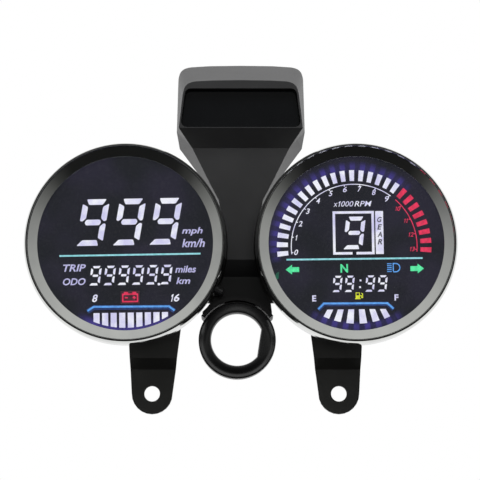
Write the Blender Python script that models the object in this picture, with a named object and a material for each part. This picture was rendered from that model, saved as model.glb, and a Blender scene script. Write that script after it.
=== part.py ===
"""Twin-gauge motorcycle instrument cluster.

Two round chrome-cased digital gauges sit on rubber dampers in front of one pressed steel bracket.
A moulded console with a hood stands between them, with a collar for the ignition lock below it.
Frame: metres, gauges face -Y, +X to the viewer's right, +Z up. The origin is midway between the
two bolt holes of the bracket's tabs, on the tabs' rear faces.
"""
import math

import bmesh
import bpy
from mathutils import Matrix, Vector

# ---- driving dimensions ------------------------------------------------------------------
GAP = 0.0003                 # air left between pieces that touch
ROUND = 40                   # segments of the large rounds
SMALL = 14                   # segments of the fasteners

PLATE_T = 0.0025             # bracket sheet
TAB_HOLE_PITCH = 0.0954
TAB_HOLE_R = 0.0040
TAB_END_R = 0.0104
JOGGLE_Y = 0.0055            # how far the tabs step back behind the plate
JOGGLE_LOW = 0.0135          # height where the step begins
JOGGLE_HIGH = 0.0188         # height where it ends
BAR_LOW, BAR_HIGH = 0.054, 0.088
BAR_OVERHANG = 0.034         # past each gauge's axis
MAST_TOP = 0.150
MAST_HALF = 0.012
TONGUE_LOW = 0.0460
TONGUE_HALF_LOW, TONGUE_HALF_HIGH = 0.0180, 0.0215
TAB_LEAN_IN, TAB_LEAN_OUT = 0.13, 0.05   # how fast the tabs' edges spread with height

GAUGE_PITCH = 0.116
GAUGE_MID_X = -0.0024
GAUGE_Z = 0.0729
GAUGE_R = 0.0508             # widest radius of the bezel
VIEW_R = 0.04405             # bevel's inner edge, the visible display
RIM_R = 0.04885              # front crest of the bezel
CASE_R = 0.0502
CASE_WALL = 0.0012
CASE_BACK_R = 0.038
GAUGE_DEPTH = 0.030
BEZEL_SKIRT = 0.012          # depth of the bezel's skirt
BEZEL_T = 0.0009
BEVEL_DEPTH = 0.0049
LENS_T = 0.0018
PANEL_T = 0.0020
LIGHT_T = 0.0026
BOARD_T = 0.0016

STUD_OFFSET = 0.022
STUD_Z = 0.071
STUD_R = 0.0029
STUD_HEAD_R = 0.006
DAMPER_LIP = 0.0024          # thickness of each damper flange
DAMPER_R = 0.009
DAMPER_NECK_R = 0.0057
WASHER_R, WASHER_T = 0.008, 0.0012
NUT_R, NUT_T = 0.00577, 0.005
GROMMET_RISE = 0.022
GROMMET_R = 0.0055
GROMMET_NECK_R = 0.0037
CABLE_R = 0.0021

BUTTON_ANGLE = math.radians(-26)
BUTTON_DEPTH = 0.0187        # behind the bezel's crest
BUTTON_R = 0.0022
BUTTON_TIP = 0.0545          # radius of the button's outer end from the gauge axis
BUTTON_TRAVEL = 0.0015
BOOT_R = 0.0030
FLANGE_R, FLANGE_T = 0.0032, 0.001       # the button's collar inside the case
SPRING_LENGTH = 0.0046
SWITCH_HALF, SWITCH_WIDTH = 0.0032, 0.0055

HOOD_FRONT = 0.003           # hood's rim, behind the bezel crest
NECK_FRONT_TOP = 0.011       # neck surface just under the hood
NECK_FRONT_MID = 0.015
NECK_FRONT_LOW = 0.0215      # neck surface beside the button
POCKET_DEPTH = 0.007
POCKET_HALF_LOW, POCKET_HALF_HIGH = 0.0302, 0.0284
POCKET_LOW_RIM, POCKET_HIGH_RIM = 0.0004, 0.0042    # hood left below and above the pocket
POCKET_CORNER = 0.003
WINDOW_T = 0.0019
CONSOLE_WALL = 0.0022
COVER_T = 0.0020
COVER_REBATE = 0.0005        # how far the cover's seat cuts into the console's wall
CAN_CLEARANCE = 0.0006
HOOD_TOP_FRONT, HOOD_TOP_BACK = 0.1559, 0.1695
HOOD_LIP, HOOD_FOOT = 0.1314, 0.1224
NECK_STEP_HIGH, NECK_STEP_LOW = 0.066, 0.058

LOCK_X, LOCK_Z = -0.0042, 0.0248
COLLAR_R = 0.0194
LOCK_BORE_R = 0.0131
LOCK_FLAT = LOCK_BORE_R - 0.0020         # distance of the bore's flat from its axis
LOCK_FLAT_ANGLE = math.radians(-8.6)
COLLAR_FRONT = 0.0072        # behind the bezel crest
COLLAR_DEPTH = 0.0138
SOCKET_R = 0.0200
SOCKET_WALL = 0.0018
SOCKET_ANGLE = 34            # degrees above level where the socket wall starts and ends
SHOULDER_ANGLE = -33.5       # degrees round each gauge where the console's sides end
SHOULDER_DEPTH = 0.0155      # front of the shoulders that close the corners beside the socket
SHOULDER_HALF = 0.0175       # their reach either side of the lock's axis
LUG_HALF = 0.0075
LUG_T = 0.004
LUG_TOP = 0.054
LUG_ROOM = 0.0005            # clearance of the lug's slot in the console

SCREW_R, SCREW_HEAD_R, SCREW_HEAD_T = 0.0014, 0.0034, 0.0022
SCREW_HOLE_R = 0.0022
BOSS_R = 0.0034
PILOT_R = 0.0017
TOP_SCREW_X, TOP_SCREW_Z = 0.008, 0.142
LOWER_SCREW_Z = 0.080
COLLAR_SCREW_X, COLLAR_SCREW_Z = 0.0040, 0.0500

# ---- places worked out from them ---------------------------------------------------------
TAB_X = TAB_HOLE_PITCH / 2
PLATE_BACK = -JOGGLE_Y
PLATE_FRONT = PLATE_BACK - PLATE_T
CASE_BACK = PLATE_FRONT - 2 * GAP - DAMPER_LIP
CREST_Y = CASE_BACK - GAUGE_DEPTH
GAUGES = {"speedo": GAUGE_MID_X - GAUGE_PITCH / 2, "tacho": GAUGE_MID_X + GAUGE_PITCH / 2}
CONSOLE_BACK = PLATE_FRONT - GAP
CAN_R = GAUGE_R + CAN_CLEARANCE

COLOURS = {
    # name: (colour, metallic, roughness)
    "chrome": ((0.78, 0.79, 0.80), 1.0, 0.08),
    "glass": ((0.05, 0.05, 0.07), 0.0, 0.05),
    "display": ((0.012, 0.012, 0.03), 0.0, 0.15),
    "board": ((0.02, 0.12, 0.06), 0.0, 0.5),
    "white_plastic": ((0.8, 0.8, 0.8), 0.0, 0.5),
    "rubber": ((0.015, 0.015, 0.015), 0.0, 0.8),
    "black_plastic": ((0.02, 0.02, 0.021), 0.0, 0.35),
    "smoked": ((0.008, 0.008, 0.01), 0.0, 0.08),
    "black_steel": ((0.018, 0.018, 0.018), 0.3, 0.4),
    "zinc": ((0.62, 0.62, 0.6), 1.0, 0.3),
}


# ---- helpers -----------------------------------------------------------------------------
def material(name):
    found = bpy.data.materials.get(name)
    if found:
        return found
    colour, metallic, roughness = COLOURS[name]
    made = bpy.data.materials.new(name)
    made.use_nodes = True
    shader = made.node_tree.nodes["Principled BSDF"]
    shader.inputs["Base Color"].default_value = (*colour, 1)
    shader.inputs["Metallic"].default_value = metallic
    shader.inputs["Roughness"].default_value = roughness
    return made


def finish(name, bm, place=(0, 0, 0), surface=None):
    """Turn a bmesh into a named object; surface None makes a cutter."""
    bmesh.ops.recalc_face_normals(bm, faces=bm.faces)
    mesh = bpy.data.meshes.new(name)
    bm.to_mesh(mesh)
    bm.free()
    obj = bpy.data.objects.new(name, mesh)
    bpy.context.scene.collection.objects.link(obj)
    obj.location = place
    if surface:
        mesh.materials.append(material(surface))
        mesh.shade_smooth()
        mesh.set_sharp_from_angle(angle=math.radians(30))
    else:
        obj.hide_render = True
        obj.display_type = "WIRE"
    return obj


def turned(profile, segments, closed=True):
    """Spin (radius, y) points about Y. An open profile starts and ends on the axis."""
    bm = bmesh.new()
    verts = [bm.verts.new((r, y, 0)) for r, y in profile]
    pairs = list(zip(verts, verts[1:]))
    if closed:
        pairs.append((verts[-1], verts[0]))
    edges = [bm.edges.new(pair) for pair in pairs]
    bmesh.ops.spin(bm, geom=verts + edges, cent=(0, 0, 0), axis=(0, 1, 0), dvec=(0, 0, 0),
                   angle=2 * math.pi, steps=segments, use_merge=True)
    bmesh.ops.remove_doubles(bm, verts=bm.verts, dist=1e-6)
    return bm


def tube(inner, outer, low, high, segments):
    return turned([(inner, low), (outer, low), (outer, high), (inner, high)], segments)


def rod(radius, low, high, segments):
    return turned([(0, low), (radius, low), (radius, high), (0, high)], segments, closed=False)


def slab(outline, low, high):
    """Extrude a closed (x, z) outline from y = low to y = high."""
    bm = bmesh.new()
    face = bm.faces.new([bm.verts.new((x, low, z)) for x, z in outline])
    grown = bmesh.ops.extrude_face_region(bm, geom=[face])
    moved = [item for item in grown["geom"] if isinstance(item, bmesh.types.BMVert)]
    bmesh.ops.translate(bm, verts=moved, vec=(0, high - low, 0))
    return bm


def arc(centre, radius, start, end, steps):
    """Points of an arc in X and Z, angles in degrees."""
    return [(centre[0] + radius * math.cos(math.radians(start + (end - start) * i / steps)),
             centre[1] + radius * math.sin(math.radians(start + (end - start) * i / steps)))
            for i in range(steps + 1)]


def merged(parts):
    """Join bmeshes that don't touch into one bmesh, for a cutter."""
    bm = bmesh.new()
    for part in parts:
        mesh = bpy.data.meshes.new("scratch")
        part.to_mesh(mesh)
        part.free()
        bm.from_mesh(mesh)
        bpy.data.meshes.remove(mesh)
    return bm


def moved(bm, place, turn=None):
    if turn:
        bmesh.ops.transform(bm, matrix=turn, verts=bm.verts)
    bmesh.ops.translate(bm, verts=bm.verts, vec=place)
    return bm


def boolean(obj, other, operation="DIFFERENCE"):
    change = obj.modifiers.new(other.name, "BOOLEAN")
    change.operation = operation
    change.object = other
    change.solver = "EXACT"


def at_depth(depth):
    """World y of a depth measured back from the bezels' crests."""
    return CREST_Y + depth


# ---- gauges ------------------------------------------------------------------------------
def bezel(name, place):
    skirt = GAUGE_R - 0.0004
    inside = GAUGE_R - 0.0012
    profile = [
        (VIEW_R, BEVEL_DEPTH), (RIM_R - 0.0005, 0.0005), (RIM_R, 0.0), (RIM_R + 0.0008, 0.0009),
        (GAUGE_R - 0.0004, 0.0028), (GAUGE_R, 0.006), (skirt, BEZEL_SKIRT),
        (inside, BEZEL_SKIRT), (inside, 0.0044), (RIM_R + 0.0001, 0.0021), (RIM_R - 0.0006, 0.0018),
        (VIEW_R + 0.0003, BEVEL_DEPTH + BEZEL_T),
    ]
    bm = turned([(r, at_depth(d)) for r, d in profile], ROUND)
    finish(f"{name}_bezel", bm, place, "chrome")


LENS_FRONT = BEVEL_DEPTH + BEZEL_T + GAP
SEAL_FRONT = LENS_FRONT + LENS_T + GAP
SEAL_T = 0.0012
LIP = SEAL_FRONT + SEAL_T + GAP          # front edge of the case
LIGHT_FRONT = SEAL_FRONT + PANEL_T + GAP
BOARD_FRONT = LIGHT_FRONT + LIGHT_T + GAP
BORE_R = GAUGE_R - 0.0012 - GAP          # what slides inside the bezel's skirt


def case(name, centre_x):
    place = (centre_x, 0, GAUGE_Z)
    wall, depth, back = CASE_WALL, GAUGE_DEPTH, CASE_BACK_R
    shoulder = BEZEL_SKIRT + GAP
    outer = [(BORE_R, LIP), (BORE_R, shoulder), (CASE_R, shoulder + 0.0003), (CASE_R, depth - 0.010),
             (CASE_R - 0.0009, depth - 0.0068), (CASE_R - 0.0033, depth - 0.0038),
             (back + 0.005, depth - 0.0013), (back, depth), (0, depth)]
    inner = [(0, depth - wall), (back, depth - wall), (back + 0.0045, depth - 0.0013 - wall),
             (CASE_R - 0.0041, depth - 0.0045), (CASE_R - 0.0009 - wall, depth - 0.0072),
             (BORE_R - wall, depth - 0.010), (BORE_R - wall, LIP)]
    profile = inner + outer
    bm = turned([(r, at_depth(d)) for r, d in profile], ROUND, closed=False)
    shell = finish(f"{name}_case", bm, place, "chrome")
    holes = [moved(rod(STUD_R + GAP, CASE_BACK - 0.004, CASE_BACK + 0.002, SMALL),
                   (side * STUD_OFFSET, 0, STUD_Z - GAUGE_Z)) for side in (-1, 1)]
    holes.append(moved(rod(GROMMET_NECK_R + GAP, CASE_BACK - 0.004, CASE_BACK + 0.002, SMALL),
                       (0, 0, GROMMET_RISE)))
    boolean(shell, finish(f"{name}_case_holes", merged(holes), place))
    return shell


def stack(name, centre_x):
    """Lens, seal, display, light guide and circuit board, front to back."""
    place = (centre_x, 0, GAUGE_Z)
    inside = BORE_R - CASE_WALL - GAP
    layers = [
        ("lens", rod(BORE_R, at_depth(LENS_FRONT), at_depth(LENS_FRONT + LENS_T), ROUND), "glass"),
        ("lens_seal", tube(VIEW_R + 0.0013, BORE_R, at_depth(SEAL_FRONT),
                           at_depth(SEAL_FRONT + SEAL_T), ROUND), "rubber"),
        ("lcd_panel", rod(VIEW_R + 0.001, at_depth(SEAL_FRONT), at_depth(SEAL_FRONT + PANEL_T), ROUND),
         "display"),
        ("light_guide", rod(VIEW_R + 0.001, at_depth(LIGHT_FRONT), at_depth(LIGHT_FRONT + LIGHT_T),
                            ROUND), "white_plastic"),
        ("display_frame", tube(VIEW_R + 0.0013, inside, at_depth(LIP + 0.0002),
                               at_depth(BOARD_FRONT - GAP), ROUND), "white_plastic"),
        ("circuit_board", rod(VIEW_R + 0.0022, at_depth(BOARD_FRONT),
                              at_depth(BOARD_FRONT + BOARD_T), ROUND), "board"),
    ]
    for part, bm, surface in layers:
        finish(f"{name}_{part}", bm, place, surface)
    return at_depth(BOARD_FRONT + BOARD_T)


def grommet(name, centre_x):
    wall_front = CASE_BACK - CASE_WALL
    inner_lip = GROMMET_NECK_R + 0.0012
    profile = [
        (CABLE_R, wall_front - GAP - 0.0012), (inner_lip, wall_front - GAP - 0.0012),
        (inner_lip, wall_front - GAP), (GROMMET_NECK_R, wall_front - GAP),
        (GROMMET_NECK_R, CASE_BACK + GAP), (GROMMET_R, CASE_BACK + GAP),
        (GROMMET_R - 0.0012, CASE_BACK + 0.0022), (CABLE_R + 0.0011, CASE_BACK + 0.007),
        (CABLE_R, CASE_BACK + 0.007),
    ]
    finish(f"{name}_cable_grommet", turned(profile, SMALL), (centre_x, 0, GAUGE_Z + GROMMET_RISE),
           "rubber")


def suspension(name, side, x):
    """One stud with its damper, washer and nut."""
    place = (x, 0, STUD_Z)
    floor = CASE_BACK - CASE_WALL - GAP
    washer_front = PLATE_BACK + 2 * GAP + DAMPER_LIP
    nut_front = washer_front + WASHER_T + GAP
    nut_back = nut_front + NUT_T
    stud = [(0, floor - 0.0012), (STUD_HEAD_R, floor - 0.0012), (STUD_HEAD_R, floor),
            (STUD_R, floor), (STUD_R, nut_back + 0.0006), (STUD_R - 0.0006, nut_back + 0.0012),
            (0, nut_back + 0.0012)]
    finish(f"{name}_stud_{side}", turned(stud, SMALL, closed=False), place, "zinc")
    bore = STUD_R + GAP
    damper = [(bore, CASE_BACK + GAP), (DAMPER_R, CASE_BACK + GAP),
              (DAMPER_R, PLATE_FRONT - GAP), (DAMPER_NECK_R, PLATE_FRONT - GAP),
              (DAMPER_NECK_R, PLATE_BACK + GAP), (DAMPER_R, PLATE_BACK + GAP),
              (DAMPER_R, PLATE_BACK + GAP + DAMPER_LIP), (bore, PLATE_BACK + GAP + DAMPER_LIP)]
    finish(f"{name}_damper_{side}", turned(damper, SMALL), place, "rubber")
    finish(f"{name}_washer_{side}", tube(bore, WASHER_R, washer_front, washer_front + WASHER_T, SMALL),
           place, "zinc")
    nut = finish(f"{name}_nut_{side}", rod(NUT_R, nut_front, nut_back, 6), place, "zinc")
    boolean(nut, finish(f"{name}_nut_bore_{side}", rod(bore, nut_front - 0.001, nut_back + 0.001, SMALL),
                        place))


# ---- mode button on the speedometer --------------------------------------------------------
def mode_button(shell, board_back):
    """Push button with its boot, spring and switch, on a radial axis through the case wall."""
    button_y = at_depth(BUTTON_DEPTH)
    hub = Vector((GAUGES["speedo"], button_y, GAUGE_Z))
    out = Vector((math.cos(BUTTON_ANGLE), 0, math.sin(BUTTON_ANGLE)))
    aim = Matrix.Rotation(BUTTON_ANGLE - math.pi / 2, 4, Vector((0, -1, 0)))
    upright = Matrix.Rotation(math.pi / 2, 4, Vector((1, 0, 0)))   # the turned axis Y becomes Z
    turn = aim @ upright
    wall_in = BORE_R - CASE_WALL
    flange = wall_in - 0.0030

    button = [(0, flange - FLANGE_T), (FLANGE_R, flange - FLANGE_T), (FLANGE_R, flange),
              (BUTTON_R, flange), (BUTTON_R, BUTTON_TIP - 0.0006), (BUTTON_R - 0.0007, BUTTON_TIP),
              (0, BUTTON_TIP)]
    bm = turned(button, SMALL, closed=False)
    tip = hub + out * BUTTON_TIP
    moved(bm, (0, 0, 0), turn)
    bmesh.ops.translate(bm, verts=bm.verts, vec=hub - tip)
    finish("mode_button", bm, tip, "rubber")

    boot_bore = BUTTON_R + GAP
    boot_top = CASE_R + 0.0014
    boot = [(boot_bore, CASE_R + GAP), (BOOT_R, CASE_R + GAP), ((BOOT_R + boot_bore) / 2, boot_top),
            (boot_bore, boot_top)]
    bm = moved(turned(boot, SMALL), (0, 0, 0), turn)
    finish("mode_button_boot", bm, hub, "rubber")

    hole = moved(rod(BUTTON_R + GAP, wall_in - 0.004, CASE_R + 0.004, SMALL), (0, 0, 0), turn)
    boolean(shell, finish("speedo_button_hole", hole, hub))

    seat = flange - FLANGE_T - GAP
    coil_low = seat - SPRING_LENGTH
    spring(hub, turn, coil_low, seat)

    half = SWITCH_HALF
    switch_top = coil_low - GAP
    switch = bmesh.new()
    bmesh.ops.create_cube(switch, size=1)
    depth = button_y + half - (board_back + GAP)
    bmesh.ops.scale(switch, vec=(SWITCH_WIDTH, depth, 2 * half), verts=switch.verts)
    bmesh.ops.rotate(switch, matrix=Matrix.Rotation(math.pi / 2 - BUTTON_ANGLE, 4, "Y").to_3x3(),
                     verts=switch.verts)
    centre = hub + out * (switch_top - half)
    centre.y = board_back + GAP + depth / 2
    finish("mode_switch", switch, centre, "black_plastic")


def spring(hub, turn, low, high):
    """Helical spring swept as a six-sided wire along the button's axis."""
    coil_r, wire_r, turns, per_turn, sides = 0.0021, 0.00025, 4, 8, 4
    bm = bmesh.new()
    steps = turns * per_turn
    rings = []
    run = high - low - 2 * wire_r
    for i in range(steps + 1):
        angle = 2 * math.pi * i / per_turn
        radial = Vector((math.cos(angle), 0, math.sin(angle)))
        middle = radial * coil_r + Vector((0, low + wire_r + run * i / steps, 0))
        rings.append([bm.verts.new(middle + radial * wire_r * math.cos(2 * math.pi * k / sides)
                                   + Vector((0, wire_r * math.sin(2 * math.pi * k / sides), 0)))
                      for k in range(sides)])
    for one, two in zip(rings, rings[1:]):
        for k in range(sides):
            bm.faces.new((one[k], one[(k + 1) % sides], two[(k + 1) % sides], two[k]))
    bm.faces.new(rings[0])
    bm.faces.new(rings[-1])
    moved(bm, (0, 0, 0), turn)
    finish("mode_button_spring", bm, hub, "zinc")


# ---- console -----------------------------------------------------------------------------
def console_outline(top, corner, side, low, kink, neck, inset=0.0, floor=None):
    """Closed (x, z) outline of the console about its own centre, clockwise from the top.

    top is the crown's height, and the others are the right-hand corner points. inset moves the
    arcs beside the gauges in by a wall. The outline ends round the lock, or flat at a floor.
    """
    reach = CAN_R + inset
    half = GAUGE_PITCH / 2
    start = math.degrees(math.asin((neck[1] - GAUGE_Z) / reach)) - 4
    end = SHOULDER_ANGLE if floor is None else math.degrees(math.asin((floor - GAUGE_Z) / reach))
    right = [(corner[0] * 0.5, top - 0.0002), (corner[0] - 0.005, corner[1]),
             (corner[0] - 0.0015, corner[1] - 0.0015), (corner[0], corner[1] - 0.005),
             side, low, kink, neck]
    right += [(2 * half - x, z) for x, z in arc((half, GAUGE_Z), reach, start, end, 7)]
    left = [(-x, z) for x, z in reversed(right)]
    bottom = arc((LOCK_X - GAUGE_MID_X, LOCK_Z), SOCKET_R, SOCKET_ANGLE + 2, 178 - SOCKET_ANGLE, 8)
    return [(0, top)] + right + (bottom if floor is None else []) + left


FRONT = dict(top=HOOD_TOP_FRONT, corner=(0.0292, HOOD_TOP_FRONT - 0.0007), side=(0.0313, HOOD_LIP),
             low=(0.0246, HOOD_FOOT), kink=(0.0155, 0.1043), neck=(0.0111, 0.0960))
BACK = dict(top=HOOD_TOP_BACK, corner=(0.0322, HOOD_TOP_BACK - 0.0009), side=(0.0330, 0.1345),
            low=(0.0314, 0.1257), kink=(0.0180, 0.1075), neck=(0.0122, 0.0975))


def inward(points, wall):
    """Shift corner points towards the outline's inside by a wall."""
    shifted = dict(points)
    shifted["top"] = points["top"] - wall
    for key in ("corner", "side", "low", "kink", "neck"):
        x, z = points[key]
        shifted[key] = (x - wall, z - (wall if key == "corner" else 0))
    return shifted


def console_solid(front, back, depths, back_y, inset=0.0, floor=None):
    """Loft from the front outline to the back one. depths gives y at (hood, foot, mid, step)."""
    ring_f = console_outline(**front, inset=inset, floor=floor)
    ring_b = console_outline(**back, inset=inset, floor=floor)
    hood_y, foot_y, mid_y, low_y = depths

    def y_at(z):
        if z >= HOOD_LIP - 1e-6:
            return hood_y
        if z >= HOOD_FOOT:
            return hood_y + (foot_y - hood_y) * (HOOD_LIP - z) / (HOOD_LIP - HOOD_FOOT)
        if z >= NECK_STEP_HIGH:
            return foot_y + (mid_y - foot_y) * (HOOD_FOOT - z) / (HOOD_FOOT - NECK_STEP_HIGH)
        if z >= NECK_STEP_LOW:
            return mid_y + (low_y - mid_y) * (NECK_STEP_HIGH - z) / (NECK_STEP_HIGH - NECK_STEP_LOW)
        return low_y

    bm = bmesh.new()
    front_face = bm.faces.new([bm.verts.new((x, 0, z)) for x, z in ring_f])
    grown = bmesh.ops.extrude_face_region(bm, geom=[front_face])
    back_verts = [item for item in grown["geom"] if isinstance(item, bmesh.types.BMVert)]
    places = {(round(x, 7), round(z, 7)): spot for (x, z), spot in zip(ring_f, ring_b)}
    for vert in back_verts:
        spot = places[(round(vert.co.x, 7), round(vert.co.z, 7))]
        vert.co = (spot[0], back_y, spot[1])
    for height in (HOOD_LIP, HOOD_FOOT, NECK_STEP_HIGH, NECK_STEP_LOW):
        faces = [face for face in bm.faces if all(abs(vert.co.y) < 1e-9 for vert in face.verts)]
        edges = list({edge for face in faces for edge in face.edges})
        verts = list({vert for face in faces for vert in face.verts})
        bmesh.ops.bisect_plane(bm, geom=verts + edges + faces, dist=1e-6,
                               plane_co=(0, 0, height), plane_no=(0, 0, 1))
    for vert in bm.verts:
        if abs(vert.co.y) < 1e-9:
            vert.co.y = y_at(vert.co.z)
    bmesh.ops.triangulate(bm, faces=[face for face in bm.faces if len(face.verts) == 5
                                     or len(face.verts) == 4])
    return bm


def rounded_trapezium(half_low, half_high, low, high, radius, steps=4):
    pts = []
    for (x, z), start in (((half_high - radius, high - radius), 90), ((half_low - radius, low + radius), 0)):
        pts += arc((x, z), radius, start, start - 90, steps)
    return pts + [(-x, z) for x, z in reversed(pts)]


def shoulder(side):
    """Outline of the corner between the lock's socket and a gauge, about the console's centre."""
    lock = (LOCK_X - GAUGE_MID_X, LOCK_Z)
    start, end = (SOCKET_ANGLE, 68) if side > 0 else (180 - SOCKET_ANGLE, 112)
    inner = arc(lock, SOCKET_R + 0.0003, start, end, 4)
    reach = lock[0] + side * SHOULDER_HALF
    foot, top = inner[0][1], LOCK_Z + 0.0148
    return inner + [(side * 0.0115, LOCK_Z + 0.0208), (side * 0.0151, LOCK_Z + 0.0195),
                    ((side * 0.0151 + reach) / 2, LOCK_Z + 0.0168), (reach, top), (reach, foot)]


def console():
    place = (GAUGE_MID_X, 0, 0)
    hood_y = at_depth(HOOD_FRONT)
    foot_y = at_depth(NECK_FRONT_TOP)
    mid_y = at_depth(NECK_FRONT_MID)
    low_y = at_depth(NECK_FRONT_LOW)
    shell = finish("console_shroud", console_solid(FRONT, BACK, (hood_y, foot_y, mid_y, low_y),
                                                   CONSOLE_BACK), place, "black_plastic")
    wall = CONSOLE_WALL
    floor_y = hood_y + POCKET_DEPTH
    hollow_front = (floor_y + wall, foot_y + wall, mid_y + wall, low_y + wall)
    hollow = console_solid(inward(FRONT, wall), inward(BACK, wall), hollow_front, CONSOLE_BACK + 0.003,
                           inset=wall, floor=LOCK_Z + SOCKET_R + SOCKET_WALL + 0.0006)
    boolean(shell, finish("console_hollow", hollow, place))

    lock = (LOCK_X - GAUGE_MID_X, LOCK_Z)
    wall_out = SOCKET_R + SOCKET_WALL
    low, high = SOCKET_ANGLE, 180 - SOCKET_ANGLE
    socket = arc(lock, SOCKET_R, low, high, 10) + arc(lock, wall_out, high, low, 10)
    boolean(shell, finish("console_socket", slab(socket, at_depth(COLLAR_FRONT + 0.003),
                                                 CONSOLE_BACK - LUG_T), place), "UNION")

    shoulders = [slab(shoulder(side), at_depth(SHOULDER_DEPTH), CONSOLE_BACK - LUG_T)
                 for side in (-1, 1)]
    boolean(shell, finish("console_shoulders", merged(shoulders), place), "UNION")

    half = LUG_HALF + LUG_ROOM
    slot = [(-half, LOCK_Z + LOCK_BORE_R), (half, LOCK_Z + LOCK_BORE_R), (half, LUG_TOP + LUG_ROOM),
            (-half, LUG_TOP + LUG_ROOM)]
    boolean(shell, finish("console_lug_slot", slab(slot, CONSOLE_BACK - LUG_T - LUG_ROOM,
                                                   CONSOLE_BACK + 0.001), place))

    cover_front = CONSOLE_BACK - GAP - COVER_T
    screws = [(-TOP_SCREW_X, TOP_SCREW_Z), (TOP_SCREW_X, TOP_SCREW_Z), (0, LOWER_SCREW_Z)]
    starts = [floor_y + wall / 2, floor_y + wall / 2, mid_y + wall / 2]
    bosses = [moved(rod(BOSS_R, start, cover_front + 0.001, SMALL), (x, 0, z))
              for (x, z), start in zip(screws, starts)]
    boolean(shell, finish("console_bosses", merged(bosses), place), "UNION")
    pocket_low, pocket_high = HOOD_LIP + POCKET_LOW_RIM, HOOD_TOP_FRONT - POCKET_HIGH_RIM
    pocket = rounded_trapezium(POCKET_HALF_LOW, POCKET_HALF_HIGH, pocket_low, pocket_high,
                               POCKET_CORNER)
    boolean(shell, finish("console_pocket", slab(pocket, hood_y - 0.002, floor_y), place))
    floor = LUG_TOP + 0.003
    seat_wall = wall - COVER_REBATE
    seat = console_outline(**inward(BACK, seat_wall), inset=seat_wall, floor=floor)
    boolean(shell, finish("cover_seat", slab(seat, cover_front - GAP, CONSOLE_BACK + 0.001), place))
    pilots = [moved(rod(PILOT_R, cover_front - 0.009, cover_front + 0.001, SMALL), (x, 0, z))
              for x, z in screws]
    boolean(shell, finish("console_pilots", merged(pilots), place))

    panel = rounded_trapezium(POCKET_HALF_LOW - GAP, POCKET_HALF_HIGH - GAP, pocket_low + GAP,
                              pocket_high - GAP, POCKET_CORNER)
    finish("console_window", slab(panel, floor_y - GAP - WINDOW_T, floor_y - GAP), place, "smoked")

    smaller = seat_wall + GAP
    outline = console_outline(**inward(BACK, smaller), inset=smaller, floor=floor + GAP)
    cover = finish("console_rear_cover", slab(outline, cover_front, cover_front + COVER_T), place,
                   "black_plastic")
    holes = [moved(rod(SCREW_HOLE_R, cover_front - 0.001, cover_front + COVER_T + 0.001, SMALL),
                   (x, 0, z)) for x, z in screws]
    boolean(cover, finish("cover_holes", merged(holes), place))
    names = ("top_left", "top_right", "lower")
    for tag, (x, z) in zip(names, screws):
        screw(f"console_screw_{tag}", (GAUGE_MID_X + x, 0, z), cover_front - 0.0075)
    return [(GAUGE_MID_X + x, z) for x, z in screws]


def screw(name, place, tip):
    """Pan-head screw driven from behind the bracket."""
    head = PLATE_BACK + GAP
    profile = [(0, tip), (SCREW_R - 0.0005, tip), (SCREW_R, tip + 0.0008), (SCREW_R, head),
               (SCREW_HEAD_R, head), (SCREW_HEAD_R, head + SCREW_HEAD_T * 0.6),
               (SCREW_HEAD_R - 0.001, head + SCREW_HEAD_T), (0, head + SCREW_HEAD_T)]
    finish(name, turned(profile, SMALL, closed=False), place, "zinc")


# ---- ignition lock collar ------------------------------------------------------------------
def ignition_collar():
    """Rounded collar with a D-shaped bore, carried by a lug behind the console."""
    place = (LOCK_X, 0, LOCK_Z)
    front = at_depth(COLLAR_FRONT)
    r, bore = COLLAR_R, LOCK_BORE_R
    back = front + COLLAR_DEPTH
    profile = [(bore, front + 0.0075), (bore + 0.0006, front + 0.0032), (bore + 0.0018, front + 0.0008),
               (bore + 0.0033, front), (r - 0.0017, front + 0.0007), (r - 0.0005, front + 0.0025),
               (r, front + 0.0048), (r - 0.0002, back - 0.002), (r - 0.0012, back),
               (bore + 0.0022, back), (bore + 0.0022, front + 0.011), (bore, front + 0.0105)]
    ring = finish("ignition_collar", turned(profile, ROUND), place, "black_plastic")
    arm_low, arm_high = LOCK_BORE_R + 0.0026, COLLAR_R - 0.0002
    lug_back = CONSOLE_BACK
    arm = arc((0, 0), arm_low, 63, 107, 6) + arc((0, 0), arm_high, 107, 63, 6)
    boolean(ring, finish("collar_arm", slab(arm, back - 0.004, lug_back - 0.001), place), "UNION")
    left, right = (GAUGE_MID_X - LOCK_X + side * LUG_HALF for side in (-1, 1))
    foot, top = arm_low + 0.0012, LUG_TOP - LOCK_Z
    lug = [(left, foot), (right, foot), (right, top - 0.003), (right - 0.003, top),
           (left + 0.003, top), (left, top - 0.003)]
    boolean(ring, finish("collar_lug", slab(lug, lug_back - LUG_T, lug_back), place), "UNION")
    chord = math.sqrt(LOCK_BORE_R ** 2 - LOCK_FLAT ** 2) + 0.0006
    filled = LOCK_BORE_R + 0.0024
    flat = [(LOCK_FLAT, -chord), (filled, -chord), (filled, chord), (LOCK_FLAT, chord)]
    key = slab(flat, front + 0.0035, front + 0.0105)
    moved(key, (0, 0, 0), Matrix.Rotation(-LOCK_FLAT_ANGLE, 4, "Y"))
    boolean(ring, finish("collar_flat", key, place), "UNION")
    points = [(GAUGE_MID_X - LOCK_X + side * COLLAR_SCREW_X, COLLAR_SCREW_Z - LOCK_Z)
              for side in (-1, 1)]
    pilots = [moved(rod(PILOT_R, lug_back - 0.0034, lug_back + 0.001, SMALL), (x, 0, z))
              for x, z in points]
    boolean(ring, finish("collar_pilots", merged(pilots), place))
    for tag, (x, z) in zip(("left", "right"), points):
        screw(f"collar_screw_{tag}", (LOCK_X + x, 0, LOCK_Z + z), lug_back - 0.0030)
    return [(LOCK_X + x, LOCK_Z + z) for x, z in points]


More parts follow.
